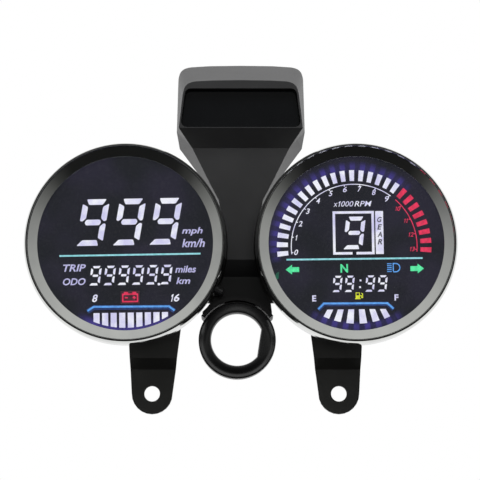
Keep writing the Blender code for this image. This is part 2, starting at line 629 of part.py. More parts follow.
# ---- bracket -----------------------------------------------------------------------------
def bracket(screw_places):
    """Pressed steel plate: cross bar, mast behind the console, and two joggled tabs."""
    corner = 0.010
    ends = (GAUGES["speedo"] - BAR_OVERHANG, GAUGES["tacho"] + BAR_OVERHANG)
    tab = TAB_END_R

    mast = MAST_HALF
    bm = bmesh.new()

    def points(outline, y):
        return [bm.verts.new((x, y, z)) for x, z in outline]

    def tab_edge(side, spread, height):
        """Edge of a tab at a height; the edges lean outwards from the rounded end."""
        lean = TAB_LEAN_IN if side * spread < 0 else TAB_LEAN_OUT
        return (side * TAB_X + spread * (tab + height * lean), height)

    heads = []
    for side in (-1, 1):
        tops = points([tab_edge(side, spread, JOGGLE_HIGH) for spread in (-1, 1)], -JOGGLE_Y)
        feet = points([tab_edge(side, spread, JOGGLE_LOW) for spread in (-1, 1)], 0)
        end = points(arc((side * TAB_X, 0), tab, 180, 360, 12), 0)
        bm.faces.new((tops[0], feet[0], feet[1], tops[1]))
        bm.faces.new([feet[0]] + end + [feet[1]])
        heads.append(tops)
    foot = [[tab_edge(side, spread, BAR_LOW) for spread in (-1, 1)] for side in (-1, 1)]
    middle = [foot[0][1], (GAUGE_MID_X - TONGUE_HALF_HIGH, BAR_LOW),
              (GAUGE_MID_X - TONGUE_HALF_LOW, TONGUE_LOW), (GAUGE_MID_X + TONGUE_HALF_LOW, TONGUE_LOW),
              (GAUGE_MID_X + TONGUE_HALF_HIGH, BAR_LOW), foot[1][0]]
    around = (
        [foot[1][1]]
        + arc((ends[1] - corner, BAR_LOW + corner), corner, -90, 0, 5)
        + arc((ends[1] - corner, BAR_HIGH - corner), corner, 0, 90, 5)
        + [(GAUGE_MID_X + mast + 0.006, BAR_HIGH), (GAUGE_MID_X + mast, BAR_HIGH + 0.006)]
        + arc((GAUGE_MID_X + mast - 0.005, MAST_TOP - 0.005), 0.005, 0, 90, 4)
        + arc((GAUGE_MID_X - mast + 0.005, MAST_TOP - 0.005), 0.005, 90, 180, 4)
        + [(GAUGE_MID_X - mast, BAR_HIGH + 0.006), (GAUGE_MID_X - mast - 0.006, BAR_HIGH)]
        + arc((ends[0] + corner, BAR_HIGH - corner), corner, 90, 180, 5)
        + arc((ends[0] + corner, BAR_LOW + corner), corner, 180, 270, 5)
        + [foot[0][0]]
    )
    bm.faces.new(heads[0] + points(middle, -JOGGLE_Y) + heads[1] + points(around, -JOGGLE_Y))
    plate = finish("main_bracket", bm, (0, 0, 0), "black_steel")
    for face in plate.data.polygons:
        if face.normal.y < 0:
            face.flip()
    skin = plate.modifiers.new("sheet", "SOLIDIFY")
    skin.thickness = PLATE_T
    skin.offset = -1
    skin.use_even_offset = True
    front, back = PLATE_FRONT - 0.002, 0.003
    cuts = [moved(rod(TAB_HOLE_R, -PLATE_T - 0.002, 0.002, 24), (side * TAB_X, 0, 0)) for side in (-1, 1)]
    cuts += [moved(rod(DAMPER_NECK_R + GAP, front, back, SMALL), (x + side * STUD_OFFSET, 0, STUD_Z))
             for x in GAUGES.values() for side in (-1, 1)]
    cuts += [moved(rod(SCREW_HOLE_R, front, back, SMALL), (x, 0, z)) for x, z in screw_places]
    boolean(plate, finish("bracket_holes", merged(cuts)))


# ---- build ---------------------------------------------------------------------------------
def build():
    for obj in list(bpy.data.objects):
        bpy.data.objects.remove(obj)
    shells = {}
    board_back = 0.0
    for name, x in GAUGES.items():
        bezel(name, (x, 0, GAUGE_Z))
        shells[name] = case(name, x)
        board_back = stack(name, x)
        grommet(name, x)
        outer = -1 if name == "speedo" else 1
        suspension(name, "outer", x + outer * STUD_OFFSET)
        suspension(name, "inner", x - outer * STUD_OFFSET)
    mode_button(shells["speedo"], board_back)
    bracket(console() + ignition_collar())


build()
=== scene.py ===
"""Looks of the twin-gauge motorcycle instrument cluster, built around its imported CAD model.

Lengths are in millimetres until a mesh is finished, in the frame of the CAD: gauges face -Y, +Z is up.
A depth is a distance back from the front crest of the gauges' bezels.
"""
import math

import bmesh
import bpy
from mathutils import Matrix, Vector


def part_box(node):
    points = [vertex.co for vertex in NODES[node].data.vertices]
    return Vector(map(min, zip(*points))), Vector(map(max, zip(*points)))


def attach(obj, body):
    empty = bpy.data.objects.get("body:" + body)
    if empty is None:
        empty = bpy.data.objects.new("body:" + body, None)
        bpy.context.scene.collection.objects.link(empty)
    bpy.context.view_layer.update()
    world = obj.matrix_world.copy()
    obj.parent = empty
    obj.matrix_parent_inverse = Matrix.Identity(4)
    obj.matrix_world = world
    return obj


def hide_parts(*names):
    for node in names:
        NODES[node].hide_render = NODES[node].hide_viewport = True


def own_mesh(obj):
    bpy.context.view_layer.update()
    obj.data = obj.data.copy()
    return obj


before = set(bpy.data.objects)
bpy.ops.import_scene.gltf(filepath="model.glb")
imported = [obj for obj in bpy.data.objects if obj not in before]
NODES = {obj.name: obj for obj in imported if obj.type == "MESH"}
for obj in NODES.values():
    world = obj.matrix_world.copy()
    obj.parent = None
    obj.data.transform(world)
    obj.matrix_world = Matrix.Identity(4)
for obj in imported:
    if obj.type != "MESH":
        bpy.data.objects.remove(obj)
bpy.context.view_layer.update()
MM = 0.001


def span(node):
    """Lowest and highest corner of a CAD node in millimetres."""
    low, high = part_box(node)
    return low / MM, high / MM


def middle(node):
    low, high = span(node)
    return (low + high) / 2


# ---- places read from the frame ----------------------------------------------------------
CREST = span("speedo_bezel")[0].y
GAUGES = {name: middle(f"{name}_bezel") for name in ("speedo", "tacho")}
CASE_BACK = span("speedo_case")[1].y - CREST
PANEL_FRONT = span("speedo_lcd_panel")[0].y
COLLAR_R = 19.4              # the lock collar's outer radius
COLLAR_LOW = span("ignition_collar")[0]
COLLAR_FRONT = COLLAR_LOW.y
COLLAR_X, COLLAR_Z = COLLAR_LOW.x + COLLAR_R, COLLAR_LOW.z + COLLAR_R

# ---- fineness and display layers ---------------------------------------------------------
FINE = 256                   # segments of the large rounds
SMALL = 48                   # segments of the fasteners
VIEW_R = 44.05               # radius of a bezel's opening
INK_T = 0.10                 # thickness of the lit shapes on a display
INK_GAP = 0.02               # space between them and the panel
LIFT = 0.07                  # how far the upper layer of shapes stands off the lower one
SLANT = 0.24                 # lean of the lettering
WEIGHT = 0.020               # how much the lettering is thickened
DISPLAY_TILT = {"speedo": 1.0, "tacho": 0.7}     # degrees anticlockwise


# ---- materials ---------------------------------------------------------------------------
def ranged(tree, value, start, end, low, high, smooth=False):
    """Map a value from start..end to low..high."""
    node = tree.nodes.new("ShaderNodeMapRange")
    node.interpolation_type = "SMOOTHSTEP" if smooth else "LINEAR"
    tree.links.new(value, node.inputs["Value"])
    for socket, number in (("From Min", start), ("From Max", end), ("To Min", low), ("To Max", high)):
        node.inputs[socket].default_value = number
    return node.outputs["Result"]


def graded(tree, level, stops, tint=(1, 1, 1)):
    """Colour ramp of greys over a level from 0 to 1; stops are (level, grey)."""
    node = tree.nodes.new("ShaderNodeValToRGB")
    elements = node.color_ramp.elements
    while len(elements) < len(stops):
        elements.new(0.5)
    for element, (position, grey) in zip(elements, stops):
        element.position = position
        element.color = (*(grey * part for part in tint), 1)
    tree.links.new(level, node.inputs["Fac"])
    return node.outputs["Color"]


def mixed(tree, factor, one, two):
    """Mix of two colours, each a plain colour or the output of a node."""
    node = tree.nodes.new("ShaderNodeMix")
    node.data_type = "RGBA"
    tree.links.new(factor, node.inputs["Factor"])
    for socket, colour in ((node.inputs[6], one), (node.inputs[7], two)):
        if isinstance(colour, bpy.types.NodeSocket):
            tree.links.new(colour, socket)
        else:
            socket.default_value = (*colour, 1)
    return node.outputs[2]


class Look:
    """A node material on one shader, with helpers for noise, ranges, mixes and sums."""

    def __init__(self, name):
        self.material = bpy.data.materials.new(name)
        self.material.use_nodes = True
        self.tree = self.material.node_tree
        self.shader = self.tree.nodes["Principled BSDF"]
        self.place = self.tree.nodes.new("ShaderNodeTexCoord").outputs["Object"]

    def put(self, socket, value):
        target = self.shader.inputs[socket]
        if isinstance(value, bpy.types.NodeSocket):
            self.tree.links.new(value, target)
        elif isinstance(value, tuple):
            target.default_value = (*value, 1)
        else:
            target.default_value = value

    def link(self, value, target):
        if isinstance(value, bpy.types.NodeSocket):
            self.tree.links.new(value, target)
        else:
            target.default_value = value

    def noise(self, scale, detail=3.0):
        node = self.tree.nodes.new("ShaderNodeTexNoise")
        node.inputs["Scale"].default_value = scale
        node.inputs["Detail"].default_value = detail
        self.tree.links.new(self.place, node.inputs["Vector"])
        return node.outputs["Fac"]

    def ramp(self, value, start, end, low, high, smooth=False):
        return ranged(self.tree, value, start, end, low, high, smooth)

    def mix(self, factor, one, two):
        return mixed(self.tree, factor, one, two)

    def sums(self, operation, one, two):
        node = self.tree.nodes.new("ShaderNodeMath")
        node.operation = operation
        self.link(one, node.inputs[0])
        self.link(two, node.inputs[1])
        return node.outputs["Value"]

    def split(self):
        """X, Y and Z of a point, in metres."""
        node = self.tree.nodes.new("ShaderNodeSeparateXYZ")
        self.tree.links.new(self.place, node.inputs["Vector"])
        return node.outputs

    def bump(self, height, depth):
        node = self.tree.nodes.new("ShaderNodeBump")
        node.inputs["Distance"].default_value = depth
        self.tree.links.new(height, node.inputs["Height"])
        self.tree.links.new(node.outputs["Normal"], self.shader.inputs["Normal"])


def surface(name, colour, shade, rough, grain, depth, patch=60, **sockets):
    """Colour drifts to shade over large patches; roughness and bump follow a fine grain.

    rough is the least and greatest roughness, grain the noise scale, depth the bump in millimetres.
    """
    look = Look(name)
    fine = look.noise(grain, 4.0)
    look.put("Base Color", drift(look, patch, colour, shade))
    look.put("Roughness", look.ramp(fine, 0.3, 0.7, *rough))
    look.bump(fine, depth * MM)
    for socket, value in sockets.items():
        look.put(socket.replace("_", " "), value)
    return look.material


def by_height(look, stops):
    """Grey factor that follows the height; stops are (height in millimetres, factor), rising."""
    low, high = stops[0][0], stops[-1][0]
    level = look.ramp(look.split()["Z"], low * MM, high * MM, 0, 1)
    return graded(look.tree, level, [((height - low) / (high - low), factor) for height, factor in stops])


def drift(look, patch, colour, shade):
    """Colour that wanders to shade over patches of a given noise scale."""
    return look.mix(look.ramp(look.noise(patch), 0.35, 0.65, 0, 1), colour, shade)


def moulded(name, colour, shade, rough, grain, depth, stops, patch=60):
    """Satin moulded plastic with painted shade: its colour darkened over the height where stops say so."""
    look = Look(name)
    fine = look.noise(grain, 4.0)
    product = look.tree.nodes.new("ShaderNodeVectorMath")
    product.operation = "MULTIPLY"
    look.link(drift(look, patch, colour, shade), product.inputs[0])
    look.link(by_height(look, stops), product.inputs[1])
    look.put("Base Color", product.outputs["Vector"])
    look.put("Roughness", look.ramp(fine, 0.3, 0.7, *rough))
    look.bump(fine, depth * MM)
    return look.material


def glow(name, bright, dim, patch=520):
    """A lit shape on a display, unevenly lit from behind."""
    look = Look(name)
    look.put("Base Color", look.mix(look.noise(1500), (0.02, 0.02, 0.03), (0.05, 0.05, 0.06)))
    look.put("Roughness", 0.5)
    look.put("Emission Color", look.mix(look.ramp(look.noise(patch, 2.0), 0.36, 0.64, 0, 1), dim, bright))
    look.put("Emission Strength", 1.0)
    return look.material


WASH_EDGE = 7                # half width in degrees of a wash's soft ends


def display(name, centre, washes):
    """Dark panel with a painted glow of coloured light washed round its lit shapes.

    Each wash is (colour, centre offset, facing, spread, inner, full, outer, streaks): a band between
    radii about a point, within spread degrees of facing. Streaks are (first angle, pitch) or None.
    """
    look = Look(name)
    cloud = look.ramp(look.noise(38, 2.0), 0.35, 0.65, 0, 1, True)
    colour = look.mix(cloud, (0.0110, 0.0120, 0.0165), (0.0190, 0.0175, 0.0310))
    place = look.split()
    for wash, offset, facing, spread, inner, full, outer, streaks in washes:
        x = look.sums("SUBTRACT", place["X"], (centre.x + offset[0]) * MM)
        z = look.sums("SUBTRACT", place["Z"], (centre.z + offset[1]) * MM)
        square = look.sums("ADD", look.sums("MULTIPLY", x, x), look.sums("MULTIPLY", z, z))
        radius = look.sums("SQRT", square, 0)
        angle = math.radians(facing)
        along = look.sums("ADD", look.sums("MULTIPLY", x, math.cos(angle)),
                          look.sums("MULTIPLY", z, math.sin(angle)))
        turn = look.sums("DIVIDE", along, radius)
        cone = look.ramp(turn, math.cos(math.radians(spread + WASH_EDGE)),
                         math.cos(math.radians(spread - WASH_EDGE)), 0, 1, True)
        rise = look.ramp(radius, inner * MM, full * MM, 0, 1, True)
        fall = look.ramp(radius, full * MM, outer * MM, 1, 0, True)
        mask = look.sums("MULTIPLY", cone, look.sums("MULTIPLY", rise, fall))
        if streaks:
            bearing = look.sums("ARCTAN2", z, x)
            first, pitch = streaks
            turned = look.sums("SUBTRACT", bearing, math.radians(first))
            wave = look.sums("COSINE", look.sums("MULTIPLY", turned, 360 / pitch), 0)
            mask = look.sums("MULTIPLY", mask, look.ramp(wave, -0.5, 0.5, 0.30, 1.0, True))
        patchy = look.sums("MULTIPLY", mask, look.ramp(look.noise(150, 2.0), 0.3, 0.7, 0.55, 1.0))
        colour = look.mix(patchy, colour, wash)
    look.put("Base Color", look.mix(look.noise(700), (0.006, 0.006, 0.009), (0.010, 0.010, 0.014)))
    look.put("Roughness", look.ramp(look.noise(900), 0.3, 0.7, 0.22, 0.30))
    look.put("Specular IOR Level", 0.08)
    look.put("Emission Color", colour)
    look.put("Emission Strength", 1.0)
    return look.material


CHROME = surface("chrome", (0.80, 0.81, 0.79), (0.72, 0.73, 0.72), (0.045, 0.085), 2400, 0.0002,
                 Metallic=1.0)
CHROME_CASE = surface("chrome_case", (0.74, 0.75, 0.75), (0.66, 0.67, 0.67), (0.10, 0.17), 1800, 0.0006,
                      Metallic=1.0)
GLASS = surface("clear_lens", (0.97, 0.98, 0.98), (0.95, 0.96, 0.98), (0.0, 0.008), 260, 0.00001,
                Transmission_Weight=1.0, IOR=1.46)
# Painted shade: the console's colour darkens towards its bottom, strongly below 66 mm between the gauges, as
# (height in millimetres, factor).
CONSOLE_PAINTED_SHADE = [(40.0, 0.12), (56.0, 0.15), (66.0, 0.62), (105.0, 0.92), (121.5, 1.0), (170.0, 1.0)]
CONSOLE = moulded("console_plastic", (0.0400, 0.0400, 0.0415), (0.0350, 0.0350, 0.0362), (0.38, 0.46),
                  2600, 0.0035, CONSOLE_PAINTED_SHADE)
COLLAR = surface("collar_plastic", (0.0135, 0.0135, 0.0140), (0.0105, 0.0105, 0.0110), (0.26, 0.34),
                 2600, 0.0025, IOR=1.5)
WINDOW = surface("smoked_window", (0.0035, 0.0040, 0.0050), (0.0025, 0.0030, 0.0040), (0.10, 0.16),
                 900, 0.0004, IOR=1.49)
STEEL = surface("black_steel", (0.0300, 0.0300, 0.0280), (0.0240, 0.0240, 0.0225), (0.36, 0.46),
                1500, 0.0045, IOR=1.5)
ZINC = surface("zinc_steel", (0.60, 0.60, 0.57), (0.50, 0.51, 0.49), (0.24, 0.38), 2200, 0.002,
               Metallic=1.0)
SPRING = surface("spring_steel", (0.52, 0.52, 0.50), (0.42, 0.42, 0.41), (0.22, 0.34), 3000, 0.001,
                 Metallic=1.0)
RUBBER = surface("rubber", (0.018, 0.018, 0.018), (0.013, 0.013, 0.013), (0.62, 0.78), 1900, 0.010)
BUTTON = surface("button_rubber", (0.014, 0.014, 0.015), (0.010, 0.010, 0.011), (0.30, 0.42), 1900, 0.004)
WHITE = surface("white_plastic", (0.78, 0.78, 0.76), (0.72, 0.72, 0.70), (0.38, 0.5), 1400, 0.004)
GUIDE = surface("light_guide", (0.82, 0.83, 0.85), (0.76, 0.78, 0.82), (0.2, 0.32), 1200, 0.002)
BOARD = surface("circuit_board", (0.015, 0.115, 0.050), (0.010, 0.085, 0.040), (0.3, 0.5), 700, 0.004)
SWITCH = surface("switch_plastic", (0.030, 0.030, 0.032), (0.022, 0.022, 0.024), (0.38, 0.5), 1500, 0.004)

LIT_WHITE = glow("lit_white", (0.92, 0.92, 1.0), (0.66, 0.64, 0.90), 160)
LIT_LABEL = glow("lit_label", (0.60, 0.58, 0.86), (0.44, 0.42, 0.70))
LIT_CYAN = glow("lit_cyan", (0.38, 0.78, 0.86), (0.22, 0.62, 0.66))
LIT_BLUE = glow("lit_blue", (0.13, 0.42, 0.95), (0.09, 0.30, 0.75))
LIT_RED = glow("lit_red", (0.90, 0.03, 0.11), (0.62, 0.02, 0.07))
LIT_GREEN = glow("lit_green", (0.12, 0.95, 0.42), (0.07, 0.70, 0.30))
PAINTED_GREEN_REFLECTION = glow("painted_green_reflection", (0.004, 0.110, 0.060), (0.003, 0.060, 0.035))
# Painted glow: dim emissive bands laid round the blue lines and the battery icon for the light spilling from
# them.
HALO_BLUE = glow("halo_blue", (0.012, 0.040, 0.170), (0.008, 0.022, 0.100))
HALO_RED = glow("halo_red", (0.060, 0.008, 0.018), (0.040, 0.006, 0.014))
LIT_YELLOW = glow("lit_yellow", (0.85, 0.95, 0.03), (0.62, 0.62, 0.02))
UNLIT = glow("unlit_letters", (0.030, 0.028, 0.060), (0.020, 0.018, 0.040))

# Painted glow: purple washes of light on the panels, outside the rev bars and along the bottom near the
# bezels' edge.
HAZE = (0.060, 0.045, 0.260)
ARC = (-1.0, -1.2)           # centre of the tachometer's rev scale
FIRST, STEP = 185.2, 7.25    # angle of its first bar and from bar to bar, two bars for each thousand
DISPLAYS = {
    "speedo": display("speedo_display", GAUGES["speedo"],
                      [(HAZE, (0, 0), -90, 28, 39.5, 43.2, 47.0, None)]),
    "tacho": display("tacho_display", GAUGES["tacho"],
                     [(HAZE, ARC, 119, 69, 36.0, 39.6, 44.0, (FIRST, STEP)),
                      (HAZE, (0, 0), -90, 30, 38.5, 41.4, 46.0, (-90.0, 7.6))]),
}


# ---- mesh helpers ------------------------------------------------------------------------
def piece(name, bm, look, stands_for=(), body="cluster", sharp=35):
    """Finish a mesh made in millimetres: scale it, shade it, and let it ride on its body."""
    bmesh.ops.recalc_face_normals(bm, faces=bm.faces)
    bmesh.ops.scale(bm, vec=(MM, MM, MM), verts=bm.verts)
    mesh = bpy.data.meshes.new(name)
    bm.to_mesh(mesh)
    bm.free()
    mesh.materials.append(look)
    mesh.shade_smooth()
    mesh.set_sharp_from_angle(angle=math.radians(sharp))
    obj = bpy.data.objects.new(name, mesh)
    bpy.context.scene.collection.objects.link(obj)
    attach(obj, body)
    if stands_for:
        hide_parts(*stands_for)
    return obj


def eased(points, steps=5, closed=True):
    """Round the corners of (a, b, size) points with short curves; size is the reach along each side."""
    made = []
    count = len(points)
    for i, (a, b, size) in enumerate(points):
        here = Vector((a, b))
        if size == 0 or (not closed and i in (0, count - 1)):
            made.append((a, b))
            continue
        ends = []
        for other in (points[i - 1], points[(i + 1) % count]):
            way = Vector((other[0], other[1])) - here
            ends.append(here + way.normalized() * min(size, way.length * 0.48))
        for k in range(steps + 1):
            t = k / steps
            spot = ends[0] * (1 - t) ** 2 + here * 2 * t * (1 - t) + ends[1] * t ** 2
            made.append((spot.x, spot.y))
    return made


def lathe(profile, segments=FINE, closed=True, radius_at=None):
    """Turn (radius, y) points about Y; radius_at(radius, y, angle) may bend the round."""
    bm = bmesh.new()
    rings = []
    for r, y in profile:
        if r < 1e-6:
            rings.append([bm.verts.new((0, y, 0))] * segments)
            continue
        ring = []
        for k in range(segments):
            angle = 2 * math.pi * k / segments
            reach = radius_at(r, y, angle) if radius_at else r
            ring.append(bm.verts.new((reach * math.cos(angle), y, reach * math.sin(angle))))
        rings.append(ring)
    pairs = list(zip(rings, rings[1:]))
    if closed:
        pairs.append((rings[-1], rings[0]))
    for one, two in pairs:
        for k in range(segments):
            after = (k + 1) % segments
            corners = []
            for vert in (one[k], one[after], two[after], two[k]):
                if vert not in corners:
                    corners.append(vert)
            if len(corners) > 2:
                bm.faces.new(corners)
    return bm


def shifted(bm, place, turn=None):
    if turn:
        bmesh.ops.transform(bm, matrix=turn, verts=bm.verts)
    bmesh.ops.translate(bm, verts=bm.verts, vec=place)
    return bm


def deep(profile):
    """(radius, depth, size) points to (radius, y, size)."""
    return [(r, CREST + depth, size) for r, depth, size in profile]


def softened(bm, width, sharp_over=28, steps=3, chosen=None):
    """Round over the edges sharper than an angle, or only the chosen ones of them."""
    edges = [edge for edge in bm.edges if len(edge.link_faces) == 2
             and edge.calc_face_angle(0) > math.radians(sharp_over) and (not chosen or chosen(edge))]
    bmesh.ops.bevel(bm, geom=edges, offset=width, offset_type="OFFSET", segments=steps, profile=0.5,
                    affect="EDGES", clamp_overlap=True)
    return bm


def copied(node):
    """The CAD node's own shape in millimetres, with its flat faces whole again."""
    bm = bmesh.new()
    bm.from_mesh(NODES[node].data)
    bmesh.ops.scale(bm, vec=(1 / MM, 1 / MM, 1 / MM), verts=bm.verts)
    bmesh.ops.remove_doubles(bm, verts=bm.verts, dist=1e-4)
    bmesh.ops.dissolve_limit(bm, angle_limit=math.radians(0.6), verts=bm.verts, edges=bm.edges)
    return bm


def weighted(obj):
    """Keep the large faces of a bevelled piece flat to the light."""
    change = obj.modifiers.new("flat_faces", "WEIGHTED_NORMAL")
    change.keep_sharp = True
    return obj


# ---- gauges: bezel, case and lens --------------------------------------------------------
# Profiles are (radius, depth, how far a corner is rounded), turned about the gauge's axis.
BEZEL = [(VIEW_R, 3.5, 0.10), (48.68, 0.90, 0.04), (49.02, 0.0, 0.05), (49.18, 0.0, 0.05),
         (49.24, 0.80, 0.05), (49.76, 0.85, 0.05), (49.86, 0.55, 0.06), (50.65, 2.60, 0.60),
         (50.95, 6.0, 1.6), (50.42, 12.0, 0.20), (49.62, 12.0, 0.15), (49.62, 4.4, 0.3),
         (48.95, 2.2, 0.2), (48.20, 1.9, 0.2), (44.35, 5.8, 0.12), (VIEW_R, 5.6, 0.1)]
RIM_SEAL = [(49.20, 0.30, 0.05), (49.86, 0.30, 0.05), (49.80, 1.0, 0.05), (49.22, 1.0, 0.05)]
CASE = [(0, CASE_BACK, 0), (38.0, CASE_BACK, 4.0), (43.0, CASE_BACK - 1.3, 3.0),
        (46.9, CASE_BACK - 3.8, 3.0), (49.3, CASE_BACK - 6.8, 3.0), (50.2, CASE_BACK - 10.0, 2.0),
        (50.2, 12.6, 0.15), (49.3, 12.3, 0.10), (49.3, 9.7, 0.15), (48.1, 9.7, 0.15),
        (48.1, CASE_BACK - 10.0, 2.0), (46.1, CASE_BACK - 4.5, 3.0), (42.5, CASE_BACK - 2.5, 3.0),
        (38.0, CASE_BACK - 1.2, 4.0), (0, CASE_BACK - 1.2, 0)]
LENS = [(0, 6.1, 0), (49.3, 6.1, 0.25), (49.3, 7.9, 0.25), (0, 7.9, 0)]

for gauge, centre in GAUGES.items():
    spot = (centre.x, 0, centre.z)
    piece(f"{gauge}_bezel_ring", shifted(lathe(eased(deep(BEZEL))), spot), CHROME,
          [f"{gauge}_bezel"], sharp=60)
    piece(f"{gauge}_rim_seal", shifted(lathe(eased(deep(RIM_SEAL), 3)), spot), RUBBER)
    piece(f"{gauge}_case_cup", shifted(lathe(eased(deep(CASE), 6, False), closed=False), spot),
          CHROME_CASE, [f"{gauge}_case"], sharp=50)
    piece(f"{gauge}_lens_disc", shifted(lathe(eased(deep(LENS), 4, False), closed=False), spot),
          GLASS, [f"{gauge}_lens"])


# ---- displays ----------------------------------------------------------------------------
LIT_SEGMENTS = "abcdfg"      # a nine


def nine(left, foot, width, height, thick, gap, slant):
    """Outlines of the lit segments of a seven-segment nine, in millimetres from the gauge's centre."""
    t, g, w, h = thick, gap, width, height
    half, mid, cut = t / 2, height / 2, 0.6 * thick
    shapes = {
        "a": [(cut, h), (w - cut, h), (w - t - g * 0.3, h - t), (t + g * 0.3, h - t)],
        "d": [(g * 0.4, 0), (t, t), (w - t - g * 0.3, t), (w - cut - g * 0.3, 0)],
        "g": [(half + g, mid), (t + g * 0.4, mid + half), (w - t - g * 0.4, mid + half),
              (w - half - g, mid), (w - t - g * 0.4, mid - half), (t + g * 0.4, mid - half)],
        "b": [(w, h - cut - g * 0.6), (w, mid + g * 0.8), (w - half * 0.9, mid + g * 0.5),
              (w - t, mid + half + g * 0.7), (w - t, h - t - g)],
        "c": [(w, mid - g * 0.8), (w, cut + g * 0.6), (w - t, t + g), (w - t, mid - half - g * 0.7),
              (w - half * 0.9, mid - g * 0.5)],
        "f": [(0, h - cut - g * 0.6), (t, h - t - g), (t, mid + half + g * 0.7),
              (half * 0.9, mid + g * 0.5), (0, mid + g * 0.8)],
    }
    lit = [[(left + x + slant * z, foot + z, t * 0.2) for x, z in shapes[key]]
           for key in LIT_SEGMENTS]
    return [eased(shape, 2) for shape in lit]


def band(points, thick):
    """Outline of an open line of even thickness with mitred corners."""
    sides = ([], [])
    count = len(points)
    for i, (x, z) in enumerate(points):
        before = Vector(points[i]) - Vector(points[max(i - 1, 0)])
        after = Vector(points[min(i + 1, count - 1)]) - Vector(points[i])
        ways = [way.normalized() for way in (before, after) if way.length > 1e-9]
        way = sum(ways, Vector((0, 0))).normalized()
        normal = Vector((-way.y, way.x)) * thick / 2 / max(way.dot(ways[0]), 0.3)
        sides[0].append((x + normal.x, z + normal.y))
        sides[1].append((x - normal.x, z - normal.y))
    return sides[0] + sides[1][::-1]


def box_outline(low_x, low_z, high_x, high_z):
    return [(low_x, low_z), (high_x, low_z), (high_x, high_z), (low_x, high_z)]


def polar(centre, radius, angle):
    """Point at a radius and an angle in degrees."""
    return (centre[0] + radius * math.cos(math.radians(angle)),
            centre[1] + radius * math.sin(math.radians(angle)))


def sweep(centre, radius, start, end, steps=96):
    """Points along an arc."""
    return [polar(centre, radius, start + (end - start) * i / steps) for i in range(steps + 1)]


def frame_outlines(low_x, low_z, high_x, high_z, thick):
    """Four bars of a rectangular frame."""
    t = thick
    return [box_outline(low_x, low_z, high_x, low_z + t), box_outline(low_x, high_z - t, high_x, high_z),
            box_outline(low_x, low_z + t, low_x + t, high_z - t),
            box_outline(high_x - t, low_z + t, high_x, high_z - t)]


def letters(text, box, slant=SLANT, weight=WEIGHT):
    """Flat mesh of a text, scaled to fill a box (low x, low z, high x, high z)."""
    curve = bpy.data.curves.new("lettering", "FONT")
    curve.body = text
    curve.shear = slant
    curve.offset = weight
    curve.extrude = 0.5
    curve.resolution_u = 5
    holder = bpy.data.objects.new("lettering", curve)
    bpy.context.scene.collection.objects.link(holder)
    bpy.context.view_layer.update()
    mesh = bpy.data.meshes.new_from_object(holder.evaluated_get(bpy.context.evaluated_depsgraph_get()))
    bpy.data.objects.remove(holder)
    bpy.data.curves.remove(curve)
    xs = [vert.co.x for vert in mesh.vertices]
    ys = [vert.co.y for vert in mesh.vertices]
    wide, tall = max(xs) - min(xs), max(ys) - min(ys)
    low_x, low_z, high_x, high_z = box
    for vert in mesh.vertices:
        x = low_x + (vert.co.x - min(xs)) / wide * (high_x - low_x)
        z = low_z + (vert.co.y - min(ys)) / tall * (high_z - low_z)
        vert.co = (x, -vert.co.z * INK_T, z)
    return mesh


ONE_WIDTH, FIGURE_WIDTH = 0.62, 0.80         # as shares of a figure's height
FIGURE_INSET, FIGURE_OVERLAP = 0.03, 0.12
FIGURE_ONE = [(0.40, 0), (0.78, 0), (0.78, 1), (0.52, 1), (0.05, 0.80), (0.05, 0.60), (0.40, 0.72)]


def figure_one(box, slant=SLANT):
    """Outline of the figure 1 with its flag."""
    low_x, low_z, high_x, high_z = box
    tall = high_z - low_z
    wide = high_x - low_x - slant * tall
    return [(low_x + a * wide + slant * b * tall, low_z + b * tall) for a, b in FIGURE_ONE]


def number(text, centre, tall):
    """Outlines and letter meshes of a number set about its centre."""
    widths = [tall * (ONE_WIDTH if character == "1" else FIGURE_WIDTH) for character in text]
    left = centre[0] - sum(widths) / 2
    outlines, meshes = [], []
    weight = 0.012 if tall < 3 else WEIGHT
    inset = FIGURE_INSET * tall
    for character, wide in zip(text, widths):
        cell = (left + inset, centre[1] - tall / 2, left + wide - inset, centre[1] + tall / 2)
        if character == "1":
            outlines.append(figure_one(cell))
        else:
            meshes.append(letters(character, cell, weight=weight))
        left += wide - FIGURE_OVERLAP * tall
    return outlines, meshes


def numbered(name, gauge, look, marks, outlines=()):
    """A display feature made of numbers, each (text, centre, height)."""
    shapes, meshes = list(outlines), []
    for mark in marks:
        some, more = number(*mark)
        shapes += some
        meshes += more
    return inked(name, gauge, look, shapes, meshes)


def inked(name, gauge, look, outlines=(), texts=(), lift=0.0):
    """One display feature: prisms from outlines and meshes of letters, tilted with its display."""
    bm = bmesh.new()
    for outline in outlines:
        face = bm.faces.new([bm.verts.new((x, INK_T / 2, z)) for x, z in outline])
        grown = bmesh.ops.extrude_face_region(bm, geom=[face])
        front = [item for item in grown["geom"] if isinstance(item, bmesh.types.BMVert)]
        bmesh.ops.translate(bm, verts=front, vec=(0, -INK_T, 0))
    for mesh in texts:
        bm.from_mesh(mesh)
        bpy.data.meshes.remove(mesh)
    centre = GAUGES[gauge]
    tilt = Matrix.Rotation(-math.radians(DISPLAY_TILT[gauge]), 4, "Y")
    shifted(bm, (centre.x, PANEL_FRONT - INK_T / 2 - INK_GAP - lift, centre.z), tilt)
    return piece(f"{gauge}_{name}", bm, look, sharp=20)


def clipped_bar(left, right, top, radius, fan_from=None):
    """A bar from a level top down to a circle about the gauge's centre, straight or fanned out."""
    def foot(x):
        if fan_from is None:
            return (x, -math.sqrt(radius ** 2 - x ** 2))
        aim = Vector((x - fan_from[0], top - fan_from[1])).normalized()
        start = Vector((x, top))
        b = start.dot(aim)
        reach = -b + math.sqrt(b * b - start.length_squared + radius ** 2)
        spot = start + aim * reach
        return (spot.x, spot.y)
    steps = 4
    feet = [foot(right + (left - right) * i / steps) for i in range(steps + 1)]
    return [(left, top), (right, top)] + feet


